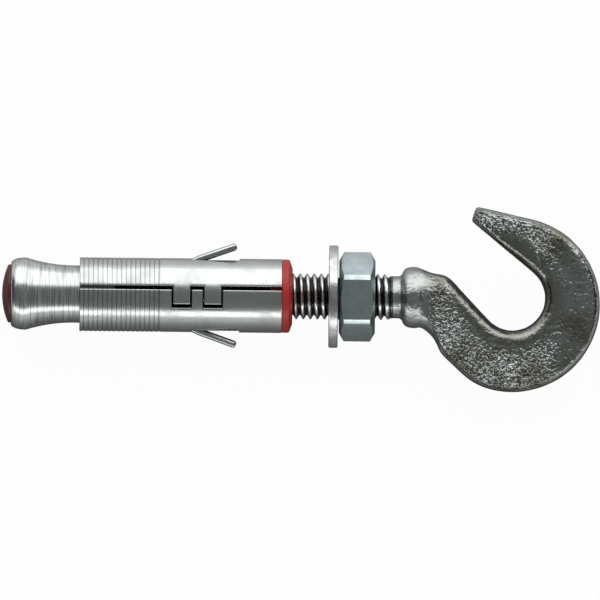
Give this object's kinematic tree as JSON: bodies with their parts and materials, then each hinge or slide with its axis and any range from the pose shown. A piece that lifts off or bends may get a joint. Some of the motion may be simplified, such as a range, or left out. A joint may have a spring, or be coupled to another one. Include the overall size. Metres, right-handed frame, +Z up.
{
  "type": "hook anchor",
  "caption": "Steel expansion anchor for masonry: ribbed split sleeve, threaded cone, washer, nut and a forged open hook on its shank.",
  "frame": {"origin": "on the shank's axis, in the outer face of the collar, which lies in the face of the wall", "axes": "+X along the shank, out of the wall towards the hook; +Z up, as it lies on the washer's rim and the hook's back with the shank level; the flat of the hook is turned 18 degrees about the shank, and +Y is the side to which its tip points"},
  "size_m": [0.1272, 0.0393, 0.0218],
  "materials": {
    "sleeve_steel": "zinc-plated rolled strip",
    "cone_steel": "zinc-plated, turned",
    "washer_steel": "zinc-plated, stamped",
    "nut_steel": "blue zinc plate, cold forged",
    "forged_steel": "drop-forged and zinc-plated, pitted",
    "red_plastic": "moulded, semi-matt"
  },
  "bodies": {
    "hook": {"forged_hook": "forged_steel"},
    "sleeve": {"expansion_sleeve": "sleeve_steel", "sleeve_collar": "red_plastic"},
    "cone": {"cone_nut": "cone_steel", "cone_plug": "red_plastic"},
    "washer": {"washer": "washer_steel"},
    "nut": {"hex_nut": "nut_steel"}
  },
  "joints": [
    {"name": "washer_travel", "type": "slide", "parent": "hook", "child": "washer", "axis": [1, 0, 0], "range_m": [-0.0074, 0.0027]},
    {"name": "nut_turn", "type": "hinge", "parent": "washer", "child": "nut", "pos_m": [0.0138, 0, 0], "axis": [1, 0, 0], "range_deg": [-1780.8, 652.8]},
    {"name": "sleeve_travel", "type": "slide", "parent": "hook", "child": "sleeve", "axis": [1, 0, 0], "range_m": [-0.0075, 0]},
    {"name": "cone_turn", "type": "hinge", "parent": "sleeve", "child": "cone", "pos_m": [-0.05, 0, 0], "axis": [1, 0, 0], "range_deg": [-1804.8, 4.8]}
  ],
  "couplings": [
    {"joint": "nut_turn", "follows": "washer_travel", "rad_per_m": 4188.8},
    {"joint": "cone_turn", "follows": "sleeve_travel", "rad_per_m": 4188.8}
  ]
}
